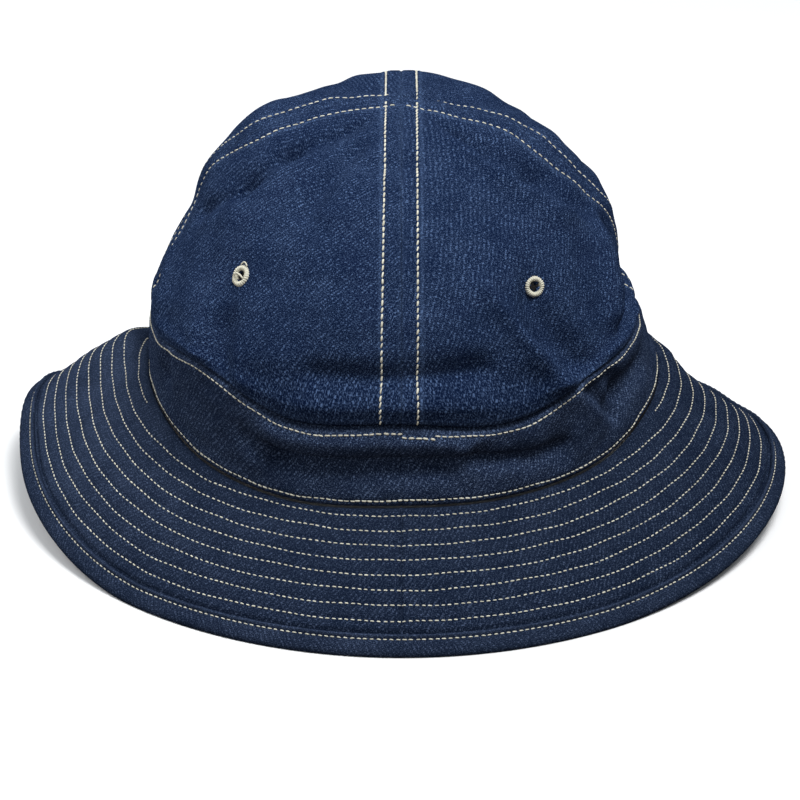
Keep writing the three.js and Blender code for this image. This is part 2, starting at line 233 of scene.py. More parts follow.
# %% [markdown]
# ## Folds, dents and small wrinkles
# The worn cloth is full of dents. Each fold is one row of a table: a line on the cloth, how wide it is
# and how far it moves the cloth. A row with a lip makes a step, as where cloth hangs over a crease. Cloth
# simulation would give folds too, but not these folds. Small unevenness is a sum of sine waves through
# space, which joins up across all seams.

# %% Tables of the folds
# columns: azimuth and station of both ends, half width, movement out, sharpness of a lip (0 for a soft fold)
CROWN_FOLDS = (
    (-44, 0.105, -59, 0.236, 6, -2.6, 0),
    (-59, 0.236, -64, 0.36, 6, -3, 0),
    (-64, 0.36, -77, 0.5, 6, -3, 0),
    (-59, 0.236, -44, 0.105, 6.5, 1.5, 1.7),
    (-64, 0.36, -59, 0.236, 6.5, 1.7, 1.7),
    (-77, 0.5, -64, 0.36, 6.5, 1.5, 1.7),
    (-25, 0.16, -30, 0.37, 4, -2.4, 0),
    (-17, 0.2, -22, 0.36, 5, 1.2, 0),
    (-16, 0.215, 5, 0.204, 5, -2.2, 0),
    (40, 0.14, 57, 0.29, 7, -5, 0),
    (57, 0.29, 65, 0.42, 6, -3, 0),
    (29, 0.11, 34, 0.2, 6, 2, 0),
    (35, 0.22, 48, 0.39, 6, 2, 0),
    (33, 0.13, 40, 0.271, 6.5, -1.8, 1.5),
    (40, 0.271, 55, 0.39, 8, -2.2, 1.5),
    (-17, 0.845, 16, 0.822, 5.5, -3.2, 0),
    (-17, 0.862, 16, 0.836, 5, -0.9, 1.2),
    (-17, 0.915, 15, 0.9, 5, 1.2, 0),
    (-41, 0.79, -39, 0.96, 6, -4, 0),
    (-36, 0.86, -35, 0.95, 5, 1.2, 0),
    (-48, 0.82, -46, 0.93, 4, 1.5, 0),
    (-80, 0.72, -70, 0.86, 5, 2, 0),
    (21, 0.56, 36, 0.95, 6, 2.5, 0),
    (31, 0.62, 41, 0.93, 6, -4.5, 0),
    (22, 0.59, 29, 0.762, 6, -2, 1.1),
    (29, 0.762, 38, 0.98, 6, -2.6, 1.1),
    (60, 0.56, 53, 0.74, 6, 2.5, 0),
    (72, 0.58, 68, 0.78, 7, -4, 0),
    (68, 0.54, 57, 0.78, 7, -3, 1.1),
    (120, 0.55, 135, 0.85, 9, -3, 0),
    (-150, 0.3, -125, 0.6, 10, -3, 0),
    (125, 0.1, 118, 0.33, 21, -4, 0),
    (84, 0.82, 106, 0.86, 8, -4, 0),
    (-100, 0.25, -100, 0.45, 15, 1.5, 0),
    (-150, 0.1, -130, 0.2, 14, -1.5, 0),
    (165, 0.86, 200, 0.84, 6, -2, 0),
)
BAND_FOLDS = (
    (-26, 0.5, 9, 0.47, 5, -5, 0),
    (-33, 0.46, -24, 0.54, 3.5, -2.2, 0),
    (15, 0.38, 34, 0.58, 4, -3.5, 0),
    (-26, 0.22, 12, 0.2, 5, 2.2, 0),
    (-26, 0.43, 9, 0.4, 4, 1.7, 0.9),
    (13, 0.33, 34, 0.53, 3.5, 1.3, 0.8),
    (42, 0.12, 50, 0.62, 4, -2.5, 0),
    (40.5, 0.15, 50, 0.66, 4, -1.5, 1),
    (47, 0.1, 53, 0.43, 4.5, -2.5, 0),
    (53, 0.43, 66, 0.45, 5, -4, 0),
    (-60, 0.12, -61, 0.38, 5, -2.8, 0),
    (160, 0.5, 205, 0.55, 5, -2, 0),
)
BRIM_FOLDS = (
    (-104, 0.1, -104, 1, 26, 8.5, 0),
    (100, 0.1, 102, 0.14, 9, 3, 0),
    (103, 0.38, 107, 0.58, 14, -8, 0),
    (-135, 0.5, -135, 0.9, 25, -1.5, 0),
)


WAVES = 9
SHORT_WAVE_FALL = 0.8


def bell(distance, spread):
    """Bell curve: 1 at no distance, fading with the square of the distance over the spread."""
    return np.exp(-((distance / spread) ** 2))


def short_turn(angle):
    """The same turn given as an angle between minus and plus half a turn."""
    return np.angle(np.exp(1j * angle))


def fold_out(form, folds, azimuth, station):
    """Sum of folds, each a bell curve of the distance from its line, measured along the cloth."""
    step = 0.01
    out = np.zeros(np.broadcast(azimuth, station).shape)
    for a0, s0, a1, s1, half_width, move, lip in folds:
        middle, level = np.radians((a0 + a1) / 2), (s0 + s1) / 2
        girth = np.linalg.norm(form(middle + step, level) - form(middle - step, level)) / (2 * step)
        drop = np.linalg.norm(form(middle, level + step) - form(middle, level - step)) / (2 * step)
        half = np.array([np.radians(a1 - a0) * girth / 2, (s1 - s0) * drop / 2])
        x = short_turn(azimuth - middle) * girth
        y = (station - level) * drop
        size = half @ half
        share = np.clip((x * half[0] + y * half[1]) / size, -1, 1)
        away = np.hypot(x - share * half[0], y - share * half[1])
        shape = move * bell(away, half_width)
        if lip:
            shape = shape * -np.tanh((y * half[0] - x * half[1]) / np.sqrt(size) / lip)
        out = out + shape
    return out


def wrinkle(points, longest, shortest, height, seed):
    """Unevenness: sine waves in random fixed directions, the shorter ones lower."""
    rng = np.random.default_rng(seed)
    way = unit(rng.normal(size=(WAVES, 3)))
    length = np.geomspace(longest, shortest, WAVES)
    phase = rng.uniform(0, 2 * np.pi, WAVES)
    waves = np.sin(points @ (way * (2 * np.pi / length)[:, None]).T + phase)
    return height * (waves * (length / longest) ** SHORT_WAVE_FALL).sum(-1)


print("folds on crown, band and brim:", len(CROWN_FOLDS), len(BAND_FOLDS), len(BRIM_FOLDS))

# %% [markdown]
# ## The sewn crown surface
# The panels are joined by flat seams: the cloth lies double on both sides of the seam line, and a row of
# stitches holds it down on each side. So the seam stands proud, dips at the thread and puckers between
# stitches. Just above the band the crown puffs out and then rolls in to the seam.

# %% Crown with seams and folds
CROWN_WALL = 1.2
# distances from the seam line
SEAM_ROW = 5.6
SEAM_EDGE = 6.9
# heights and spreads of the seam's relief and of the puckers along its rows
SEAM_STEP, STEP_SPREAD = 0.5, 0.25
ROW_DIP, DIP_SPREAD = 0.35, 0.8
GROOVE, GROOVE_SPREAD = 0.45, 0.45
PUCKER, PUCKER_SPREAD = 0.16, 2.5
PUFF = {"station": 0.95, "spread": 0.05, "out": 1.6}
# the last hundredth of the crown rolls in to the band seam, and folds fade over the last fourteenth
ROLL = {"spread": 0.01, "in": 3.2}
CROWN_FADE = 14
# longest and shortest wave, height and seed of the small wrinkles
CROWN_WRINKLE = (34, 9, 0.22, 3)


def felled(distance):
    """Height of a flat seam: a step up near it, a dip at the stitch row and a fine groove on its line."""
    step = SEAM_STEP / (1 + np.exp((distance - SEAM_EDGE) / STEP_SPREAD))
    dip = -ROW_DIP * bell(distance - SEAM_ROW, DIP_SPREAD)
    return step + dip - GROOVE * bell(distance, GROOVE_SPREAD)


def from_seams(azimuth, station, form):
    """Distances from the front and back seams and from the nearer side seam."""
    reach = np.linalg.norm(form[..., :2], axis=-1)
    turns = [np.abs(short_turn(azimuth - seam_azimuth(q, station))) for q in SEAM_LEAN]
    return np.abs(form[..., 0]), reach * np.minimum(*turns)


def crown(azimuth, station):
    """Crown form moved along its normal by folds, puff, wrinkles, seam relief and the roll at the band."""
    azimuth, station = grids(azimuth, station)
    form = crown_form(azimuth, station)
    fade = np.minimum(1, CROWN_FADE * (1 - station))
    puff = PUFF["out"] * bell(station - PUFF["station"], PUFF["spread"])
    folds = fold_out(crown_form, CROWN_FOLDS, azimuth, station)
    small = wrinkle(form, *CROWN_WRINKLE)
    front, side = from_seams(azimuth, station, form)
    pucker = PUCKER * np.sin(form[..., 2] * 0.95 + 2 * np.sin(form[..., 2] * 0.21))
    pucker = pucker * bell(front - SEAM_ROW, PUCKER_SPREAD)
    roll = ROLL["in"] * bell(1 - station, ROLL["spread"])
    out = (puff + folds + small + pucker) * fade + felled(front) + felled(side) - roll
    return moved(crown_form, azimuth, station, out)


print("front of the crown above the band:", crown(0.0, 0.95))

# %% [markdown]
# ## From grids of points to closed cloth
# Cloth has a face and a back a little over a millimetre apart. The grid of the face is copied inwards and
# the rims are closed with strips, so the mesh is one closed body. A Solidify modifier could do this, but
# the back could not have its own finish so easily. Eyelet holes are left out and closed in the same way.

# %% Mesh helpers
def add_object(name, data):
    """New object in the scene."""
    thing = bpy.data.objects.new(name, data)
    bpy.context.scene.collection.objects.link(thing)
    return thing


def add_mesh(name, points, faces, coords, kinds, wear_and_light):
    """Mesh of points in millimetres and faces.

    Cloth coordinates are given per corner, material numbers per face and values of wear and painted light per
    point.
    """
    used, index = np.unique(np.concatenate([f.ravel() for f in faces]), return_inverse=True)
    mesh = bpy.data.meshes.new(name)
    rows = []
    at = 0
    for f in faces:
        rows.extend(index[at:at + f.size].reshape(f.shape).tolist())
        at += f.size
    mesh.from_pydata(((points + CENTRE) * MM)[used], [], rows)
    corners = np.concatenate([c.reshape(-1, 2) for c in coords])
    mesh.uv_layers.new(name="cloth").uv.foreach_set("vector", corners.ravel())
    mesh.polygons.foreach_set("material_index", np.concatenate(kinds).astype(np.int32))
    mesh.polygons.foreach_set("use_smooth", np.ones(len(rows), bool))
    mesh.attributes.new("wear_and_light", "FLOAT", "POINT").data.foreach_set("value", wear_and_light[used].astype(np.float32))
    mesh.update()
    piece = add_object(name, mesh)
    print(f"{name}: {len(used)} points, {sum(len(f) * (f.shape[1] - 2) for f in faces)} triangles")
    return piece


def grid_faces(columns, rows, ring):
    """Corners of the quads of a grid stored column by column; a ring joins its last column to its first."""
    i = np.arange(columns if ring else columns - 1)[:, None]
    j = np.arange(rows - 1)[None, :]
    n = (i + 1) % columns
    return np.stack([i * rows + j, i * rows + j + 1, n * rows + j + 1, n * rows + j], -1)


def torus_faces(columns, rows):
    """Corners of the quads of a grid that is joined to itself in both directions."""
    i, j = np.meshgrid(np.arange(columns), np.arange(rows), indexing="ij")
    n, m = (i + 1) % columns, (j + 1) % rows
    return np.stack([i * rows + j, i * rows + m, n * rows + m, n * rows + j], -1).reshape(-1, 4)


def tube_faces(rings, sides):
    """Side quads and the two end caps of a row of rings joined into a tube."""
    s = np.arange(rings - 1)[:, None]
    f = np.arange(sides)
    g = (f + 1) % sides
    quads = np.stack([s * sides + f, s * sides + g, (s + 1) * sides + g, (s + 1) * sides + f], -1)
    return quads.reshape(-1, 4), np.stack([f[::-1], (rings - 1) * sides + f])


def cloth_shell(name, outside, inside, cloth, wear_and_light, hole=None):
    """Closed cloth from matching grids of face and back.

    A grid with a hole is a crown panel: hole marks the quads left out, and the first row is one point.
    A grid without a hole is a ring round the hat.
    """
    ring = hole is None
    columns, rows = outside.shape[:2]
    points = np.concatenate([outside.reshape(-1, 3), inside.reshape(-1, 3)])
    shift = columns * rows
    quads = grid_faces(columns, rows, ring)
    uv = cloth.reshape(-1, 2)[grid_faces(columns + 1, rows, False) if ring else quads]
    keep = np.ones(quads.shape[:2], bool) if ring else ~hole
    if not ring:
        keep[:, 0] = False
    front = quads[keep]
    front_uv = uv[keep]
    faces = [front, front[:, ::-1] + shift]
    coords = [front_uv, front_uv[:, ::-1]]
    kinds = [np.zeros(len(front)), np.ones(len(front))]

    def strip(corner, at, a, b):
        """Quads from the edge a to b of some face quads to the same edge of the back."""
        faces.append(np.stack([corner[:, a], corner[:, b], corner[:, b] + shift, corner[:, a] + shift], -1))
        coords.append(np.stack([at[:, a], at[:, b], at[:, b] + 1.0, at[:, a] + 1.0], -2))
        kinds.append(np.zeros(len(corner)))

    strip(quads[:, -1], uv[:, -1], 2, 1)
    if ring:
        strip(quads[:, 0], uv[:, 0], 0, 3)
    else:
        strip(quads[0, 1:], uv[0, 1:], 1, 0)
        strip(quads[-1, 1:], uv[-1, 1:], 3, 2)
        for axis, side, a, b in ((1, 1, 0, 3), (1, -1, 2, 1), (0, 1, 1, 0), (0, -1, 3, 2)):
            edge = ~hole & np.roll(hole, side, axis)
            strip(quads[edge], uv[edge], a, b)
        tip = quads[:, 0]
        top = np.zeros(len(tip), int)
        faces.append(np.stack([top, tip[:, 1], tip[:, 2]], -1))
        faces.append(np.stack([top, tip[:, 2], tip[:, 1]], -1) + shift)
        tip_uv = uv[:, 0, :3]
        coords += [tip_uv, tip_uv[:, [0, 2, 1]]]
        kinds += [np.zeros(len(tip)), np.ones(len(tip))]
        last = (columns - 1) * rows + 1
        ends = [[0, shift, shift + 1], [0, shift + 1, 1], [0, last, last + shift], [0, last + shift, shift]]
        faces.append(np.array(ends))
        coords.append(np.zeros((4, 3, 2)))
        kinds.append(np.zeros(4))
    wears = np.concatenate([wear_and_light.ravel(), 0 * wear_and_light.ravel()])
    return add_mesh(name, points, faces, coords, kinds, wears)


print("mesh helpers ready")

# %% [markdown]
# ## The four crown panels
# Each panel reaches from seam to seam; as the side seams lean forward, no panel is quite a quarter.
# Columns stand closer near the seams, where the relief is fine. Cloth coordinates are millimetres on the
# cloth, so that the weave follows the panel.

# %% Crown panels
EYELETS = {
    "front_right": {"azimuth": 33.0, "station": 0.575, "size": 0.82},
    "back_right": {"azimuth": 142.0, "station": 0.58, "size": 1.0},
    "back_left": {"azimuth": 218.0, "station": 0.58, "size": 1.0},
    "front_left": {"azimuth": 318.5, "station": 0.585, "size": 0.88},
}
HOLE = 2.7
# degrees beside each seam with close columns, columns there and in the middle
EDGE_ZONE, EDGE_COLUMNS, MIDDLE_COLUMNS = 10, 27, 64
# millimetres above the band with close rows, rows above them and rows there
ROLL_ZONE, PANEL_ROWS, ROLL_ROWS = 6.0, 124, 11
# strength of the wear on the seam's edge, on the seam line and on the puff above the band
EDGE_WEAR, LINE_WEAR, PUFF_WEAR = 0.5, 0.3, 0.25
PANEL_STARTS = {"front_right": 0, "back_right": 90, "back_left": 180, "front_left": 270}
edge_steps = np.linspace(0, EDGE_ZONE, EDGE_COLUMNS)
middle_steps = np.linspace(EDGE_ZONE, 90 - EDGE_ZONE, MIDDLE_COLUMNS)
panel_degrees = np.concatenate([edge_steps[:-1], middle_steps, 90 - edge_steps[-2::-1]])
stations = np.linspace(0, 1, 1001)
arc = arc_lengths(crown_form(np.pi / 4, stations))
upper_rows = np.linspace(0, arc[-1] - ROLL_ZONE, PANEL_ROWS)
rows_at = np.concatenate([upper_rows, np.linspace(arc[-1] - 0.9 * ROLL_ZONE, arc[-1], ROLL_ROWS)])
panel_stations = np.interp(rows_at, arc, stations)


def crown_panel(side):
    """Crown from seam to seam: face grid, back grid one wall inwards, cloth coordinates and wear."""
    station = np.broadcast_to(panel_stations, (len(panel_degrees), len(panel_stations)))
    first, last = (seam_azimuth(PANEL_STARTS[side] + turn, station) for turn in (0, 90))
    azimuth = first + (last - first) * panel_degrees[:, None] / 90
    face = crown(azimuth, station)
    back = face - outward(crown_form, azimuth, station) * CROWN_WALL
    middle = np.radians(PANEL_STARTS[side] + 45)
    reach = np.linalg.norm(crown_form(azimuth, station)[..., :2], axis=-1)
    cloth = np.stack([(azimuth - middle) * reach, -np.broadcast_to(rows_at, reach.shape)], -1)
    beside = from_seams(azimuth, station, face)
    wear_and_light = sum(EDGE_WEAR * bell(d - SEAM_EDGE, 0.6) + LINE_WEAR * bell(d, 0.8) for d in beside)
    wear_and_light = wear_and_light + PUFF_WEAR * bell(station - 0.975, 0.012)
    spot = EYELETS[side]
    centre = crown(np.radians(spot["azimuth"]), spot["station"])
    near = np.linalg.norm(face - centre, axis=-1) < HOLE
    hole = near[:-1, :-1] & near[1:, :-1] & near[:-1, 1:] & near[1:, 1:]
    return cloth_shell(f"denim_crown_{side}", face, back, cloth, wear_and_light, hole)


panels = {side: crown_panel(side) for side in PANEL_STARTS}

# %% [markdown]
# ## The band
# The band is a plain double strip that has buckled at the front, so a deep crease runs across it. Its
# edges roll in to the seams, and a row of stitches dents it near each edge.

# %% Band
BAND_WALL = 1.4
BAND_ROWS = {"upper": 2.2, "lower": 2.0}
BAND_DIP, BAND_DIP_SPREAD = 0.35, 0.7
# depth and spread of the roll at the upper seam, of that at the lower seam and of the front joint
UPPER_ROLL, LOWER_ROLL, BAND_JOINT = (2.6, 0.9), (0.9, 0.8), (0.4, 0.5)
# folds fade over the first and the last sixth of the band
BAND_FADE = 6
BAND_WRINKLE = (30, 7, 0.2, 5)
# distance of the band from the axis at the front and on average
BAND_FRONT, BAND_REACH = 97, 96
# columns round the band, and the share of its width with close rows at each seam
BAND_COLUMNS, SEAM_SHARE = 410, 0.12


def width_of(form, azimuth):
    """Straight width of a strip at an azimuth."""
    return np.linalg.norm(form(azimuth, 1.0) - form(azimuth, 0.0), axis=-1)


def band(azimuth, station):
    """Band form moved out by folds and wrinkles, with dips at its stitch rows, seams and front joint."""
    azimuth, station = grids(azimuth, station)
    form = band_form(azimuth, station)
    width = width_of(band_form, azimuth)
    upper, lower = station * width, (1 - station) * width
    fade = np.minimum(1, np.minimum(BAND_FADE * station, BAND_FADE * (1 - station)))
    out = (fold_out(band_form, BAND_FOLDS, azimuth, station) + wrinkle(form, *BAND_WRINKLE)) * fade
    aside = short_turn(azimuth) * BAND_FRONT
    for distance, (depth, spread) in ((upper, UPPER_ROLL), (lower, LOWER_ROLL), (aside, BAND_JOINT)):
        out = out - depth * bell(distance, spread)
    for distance, seam in ((upper, "upper"), (lower, "lower")):
        out = out - BAND_DIP * bell(distance - BAND_ROWS[seam], BAND_DIP_SPREAD)
    return moved(band_form, azimuth, station, out)


def ring_cloth(azimuths, distance, reach):
    """Cloth coordinates of a ring with one more column, so that the weave breaks only at the front joint."""
    u = np.append(azimuths, azimuths[0] + 2 * np.pi) * reach
    v = np.concatenate([distance, distance[:1]])
    return np.stack([np.broadcast_to(u[:, None], v.shape), v], -1)


def joint_turns(count):
    """Azimuths once round the hat, closer together beside the joint at the front."""
    beside = np.array([0, 0.12, 0.25, 0.4, 0.6, 0.9, 1.4])
    return np.radians(np.concatenate([beside, np.linspace(2, 358, count), 360 - beside[:0:-1]]))


turns = joint_turns(BAND_COLUMNS)
seam_rows = np.linspace(0, SEAM_SHARE, 8)
middle_rows = np.linspace(SEAM_SHARE, 1 - SEAM_SHARE, 24)
band_stations = np.concatenate([seam_rows[:-1], middle_rows, np.linspace(1 - SEAM_SHARE, 1, 8)[1:]])
band_face = band(turns[:, None], band_stations)
band_out = outward(band_form, turns[:, None], np.broadcast_to(band_stations, band_face.shape[:2]))
band_distance = -band_stations * width_of(band_form, turns)[:, None]
band_wear = 0.2 * bell(band_distance + 1.0, 1.0)
hat_band = cloth_shell(
    "denim_band", band_face, band_face - band_out * BAND_WALL,
    ring_cloth(turns, band_distance, BAND_REACH), band_wear,
)

# %% [markdown]
# ## The brim
# The brim is two layers of denim quilted with parallel rows, counted from the edge; at both sides one
# more short row fits in near the band. Between rows the cloth swells, at a row the thread pulls it down.
# The left side stands up in a crest, and the right side has sunk behind a small crest near the band.

# %% Brim
BRIM_WALL = 1.6
BRIM_BULGE = 1.5
FIRST_ROW, ROW_PITCH, FULL_ROWS = 12.45, 5.51, 8
# depth and spread of the dips at a row, at the band seam, beside the binding and at the front joint
SWELL, QUILT_DIP, BAND_SEAM_DIP = 0.15, (0.5, 0.9), (0.8, 0.9)
BINDING_DIP, BRIM_JOINT = (1.1, 0.7), (0.8, 0.55)
BINDING_GROOVE = 8.1
BRIM_WRINKLE = (60, 14, 0.2, 11)
# distance of the brim's middle from the axis, and how far the cloth ends inside the bound edge
BRIM_REACH, BRIM_END = 120, 3.2
BRIM_COLUMNS, BRIM_ROWS = 388, 78
# strength of the painted light that makes the raised, upward-facing left side paler, its middle and spread in
# degrees, and wear of the swells
LEFT_PAINTED_LIGHT, LEFT_MIDDLE, LEFT_SPREAD, SWELL_WEAR = 0.55, 265, 45, 0.35
# folds fade over the first seventh, wrinkles over the first eighth and the last sixth
FOLD_FADE, FIRST_FADE, LAST_FADE = 7, 8, 6
# stretch of the rows' distances, in the eight directions of the rings
ROW_SCALE = (1.0, 1.0, 0.975, 1.0, 1.0, 1.0, 0.945, 1.0)
SHORT_ROWS = ((-112.0, -70.5), (67.5, 112.0))


def brim_smooth(azimuth, station):
    """Brim form moved out by a slight bulge and its large folds."""
    azimuth, station = grids(azimuth, station)
    folds = fold_out(brim_form, BRIM_FOLDS, azimuth, station) * np.minimum(1, FOLD_FADE * station)
    out = BRIM_BULGE * 4 * station * (1 - station) + folds
    return moved(brim_form, azimuth, station, out)


def brim_swell(azimuth, station):
    """Relief of the quilting: dips at the rows, the band seam, the front joint and beside the binding."""
    width = width_of(brim_form, azimuth)
    turn = np.degrees(short_turn(azimuth))
    short = np.zeros_like(turn)
    for start, end in SHORT_ROWS:
        short = short + ((turn > start) & (turn < end))
    scale = around(ROW_SCALE, azimuth)
    count = ((1 - station) * width / scale - FIRST_ROW) / ROW_PITCH
    row = np.clip(np.round(count), 0, FULL_ROWS - 1 + short)
    away = np.abs(count - row) * ROW_PITCH * scale
    out = SWELL
    for distance, (depth, spread) in (
        (away, QUILT_DIP),
        (station * width, BAND_SEAM_DIP),
        ((1 - station) * width - BINDING_GROOVE, BINDING_DIP),
        (np.radians(turn) * BRIM_REACH, BRIM_JOINT),
    ):
        out = out - depth * bell(distance, spread)
    return out


def brim(azimuth, station, side=1.0):
    """Upper face of the brim (side 1) or its under face (side 0), both with quilting and small wrinkles."""
    azimuth, station = grids(azimuth, station)
    smooth = brim_smooth(azimuth, station)
    normal = outward(brim_smooth, azimuth, station)
    swell = brim_swell(azimuth, station)
    fade = np.minimum(1, np.minimum(FIRST_FADE * station, LAST_FADE * (1 - station)))
    out = wrinkle(smooth, *BRIM_WRINKLE) * fade + swell * side - (BRIM_WALL + swell) * (1 - side)
    return smooth + normal * out[..., None]


brim_turns = joint_turns(BRIM_COLUMNS)
brim_width = width_of(brim_form, brim_turns)
brim_stations = (1 - BRIM_END / brim_width)[:, None] * np.linspace(0, 1, BRIM_ROWS)
brim_face = brim(brim_turns[:, None], brim_stations)
brim_under = brim(brim_turns[:, None], brim_stations, 0.0)
# painted light makes the raised left side paler; the swells between rows are paler from wear
left_light_mask = bell(np.degrees(brim_turns) - LEFT_MIDDLE, LEFT_SPREAD)[:, None]
swell = brim_swell(np.broadcast_to(brim_turns[:, None], brim_stations.shape), brim_stations)
brim_wear_and_light = LEFT_PAINTED_LIGHT * left_light_mask + SWELL_WEAR * np.clip(swell, 0, 1)
brim_piece = cloth_shell(
    "denim_brim", brim_face, brim_under,
    ring_cloth(brim_turns, -brim_stations * brim_width[:, None], BRIM_REACH), brim_wear_and_light,
)

# %% [markdown]
# ## The bound edge
# A strip of the same cloth is folded over the brim's edge and held by one row through everything. Its
# section is a closed loop of points carried round the edge; where the hat stands on the floor the loop is
# pressed flat.

# %% Binding
BINDING_WIDTH = 7.6
BINDING_ROW = 5.9
BINDING_COLUMNS = 640
# distance of the edge from the axis, height and pitch of the puckers, place of the painted highlight on the
# inner fold's lip
RIM_REACH = 140
EDGE_PUCKER, PUCKER_PITCH = 0.12, 4.2
HIGHLIGHT_FOLD = 7.1
# columns: distance in from the edge, height over the brim's upper face
BINDING_LOOP = (
    (7.4, -0.4), (7.65, 0.6), (7.55, 1.2), (7.2, 1.5), (6.7, 1.4), (6.2, 0.85), (5.9, 0.6), (5.6, 0.75),
    (5.0, 1.05), (4.0, 1.2), (2.8, 1.2), (1.7, 1.1), (0.8, 0.75), (0.2, 0.1), (0.0, -0.8), (0.2, -1.6),
    (0.8, -2.3), (1.8, -2.75), (3.2, -2.85), (5.2, -2.7), (6.0, -2.3), (6.8, -2.65), (7.3, -2.6),
    (7.5, -1.8), (5.0, -0.9),
)


def edge_frame(azimuth):
    """Tip of the brim, direction back over the brim and upward normal at each azimuth."""
    tip = brim_smooth(azimuth, 1.0)
    last = 1 - BINDING_WIDTH / width_of(brim_form, azimuth)
    back = unit(brim_smooth(azimuth, last) - tip)
    up = outward(brim_smooth, azimuth, 0.5 + last / 2)
    return tip, back, unit(up - back * (up * back).sum(-1, keepdims=True))


def binding_point(azimuth, inward, over):
    """Point of the binding's section, kept above the floor."""
    tip, back, up = edge_frame(azimuth)
    point = tip + back * inward[..., None] + up * over[..., None]
    point[..., 2] = np.maximum(point[..., 2], 0.0)
    return point


def binding_ring():
    """Closed loft of the section loop, lightly puckered between stitches."""
    loop = np.array(BINDING_LOOP)
    columns, rows = BINDING_COLUMNS, len(loop)
    turn = np.broadcast_to(np.arange(columns)[:, None], (columns, rows))
    azimuth = np.broadcast_to(full_turn(columns)[:, None], (columns, rows))
    girth = azimuth * RIM_REACH
    wave = np.sin(girth * 2 * np.pi / PUCKER_PITCH + 1.5 * np.sin(girth / 9))
    pucker = EDGE_PUCKER * wave * (loop[:, 1] > 0.3)
    points = binding_point(azimuth, loop[:, 0] + 0 * azimuth, loop[:, 1] + pucker)
    faces = torus_faces(columns, rows)
    arc = arc_lengths(np.concatenate([loop, loop[:1]]))
    u = np.stack([turn, turn, turn + 1, turn + 1], -1) * 2 * np.pi * RIM_REACH / columns
    v = np.broadcast_to(np.stack([arc[:-1], arc[1:], arc[1:], arc[:-1]], -1), u.shape)
    cloth = np.stack([u, v], -1).reshape(-1, 4, 2)
    # painted highlight along the inner fold's lip; wear makes the upper face and edge a little paler
    section_wear_and_highlight = 0.5 * bell(loop[:, 0] - HIGHLIGHT_FOLD, 0.5) + 0.2 * (loop[:, 1] > -1)
    wear_and_light = np.broadcast_to(section_wear_and_highlight, (columns, rows)).ravel()
    return add_mesh("denim_binding", points.reshape(-1, 3), [faces], [cloth], [np.zeros(len(faces))], wear_and_light)


binding = binding_ring()

# %% [markdown]
# ## Stitches
# Every seam is sewn with thick cream thread. A stitch is a short plump bar that dives into the cloth at
# both ends: four rings of five points, repeated along a row in one array calculation. Instances would be
# lighter, but real meshes go through every exporter. The stitches vary a little, with a fixed seed,
# because no machine sews evenly on wrinkled cloth.

# %% Stitch maker
SECTION = {
    "along": (-1.0, -0.55, 0.55, 1.0),
    "size": (0.5, 1.0, 1.0, 0.5),
    "lift": (-0.45, 0.45, 0.45, -0.45),
}
SIDES = 5
FLATNESS = 0.8
# how much a stitch strays in place, length, slant, turn and size
STRAY = {"place": 0.04, "length": 0.06, "slant": 0.3, "turn": 0.04, "size": 0.08}
# pitch, length, thickness and slant of the stitches; the band's thickness is in its own table
SIDE_SEAM = (2.5, 1.75, 0.26, 0.08)
FRONT_SEAM = (2.4, 2.1, 0.34, 0.15)
QUILTING = (2.15, 1.45, 0.22, 0.05)
BAND_PITCH, BAND_LENGTH, BAND_SLANT = 2.15, 1.85, 0.06
rng = np.random.default_rng(21)


def along_path(points, values, arcs):
    """Values of a path at given arc lengths, linear between its points."""
    arc = arc_lengths(points)
    return np.stack([np.interp(arcs, arc, values[:, k]) for k in range(3)], -1), arc[-1]


def stitches(points, normals, pitch, length, thick, slant):
    """Rings of all stitches of one row, centred on the path, lifted along the normal and slanted a little."""
    total = along_path(points, points, np.zeros(1))[1]
    count = max(1, int(round(total / pitch)))
    centre = (np.arange(count) + 0.5) * total / count + rng.normal(0, STRAY["place"] * pitch, count)
    half = length * (1 + rng.normal(0, STRAY["length"], count)) / 2
    share = np.array(SECTION["along"])
    arcs = centre[:, None] + half[:, None] * share
    middle = along_path(points, points, arcs)[0]
    up = along_path(points, normals, arcs)[0]
    forward = unit(along_path(points, points, arcs + 0.2)[0] - along_path(points, points, arcs - 0.2)[0])
    aside = unit(np.cross(forward, up))
    up = np.cross(aside, forward)
    turn = slant * (1 + rng.normal(0, STRAY["slant"], count)) + rng.normal(0, STRAY["turn"], count)
    middle = middle + aside * (turn[:, None] * share)[..., None]
    middle = middle + up * (thick * np.array(SECTION["lift"]))[None, :, None]
    angle = full_turn(SIDES)
    spoke = up[:, :, None] * np.cos(angle)[:, None] * FLATNESS
    spoke = spoke + aside[:, :, None] * np.sin(angle)[:, None]
    size = thick * np.array(SECTION["size"]) * (1 + rng.normal(0, STRAY["size"], (count, 1)))
    return middle[:, :, None] + spoke * size[:, :, None, None]


def thread_mesh(name, rings):
    """One mesh from stitch rings of shape (stitch, section, side, 3): side quads and two end caps each."""
    count, sections = rings.shape[:2]
    side, caps = tube_faces(sections, SIDES)
    base = np.arange(count)[:, None, None] * sections * SIDES
    faces = [(base + side).reshape(-1, 4), (base + caps).reshape(-1, SIDES)]
    grid = np.stack(np.meshgrid(np.arange(sections), np.arange(SIDES), indexing="ij"), -1)
    flat = np.tile(grid.reshape(-1, 2).astype(float), (count, 1))
    coords = [flat[f] for f in faces]
    wear_and_light = np.repeat(rng.uniform(0, 1, count), sections * SIDES)
    return add_mesh(name, rings.reshape(-1, 3), faces, coords, [np.zeros(len(f)) for f in faces], wear_and_light)


print("one stitch has", 2 * (len(SECTION["along"]) - 1) * SIDES + 2 * (SIDES - 2), "triangles")

# %% [markdown]
# ## Rows of stitches on crown and band
# Two rows run beside every crown seam, from the top to the band. A row keeps its distance from the seam,
# also where it leans, so its azimuth follows from the reach of the crown. The band rows go once round the
# hat, and each was sewn over twice at the front, where it begins and ends.

# %% Crown and band rows
# stations of the ends of the crown rows
ROW_ENDS = (0.028, 0.988)


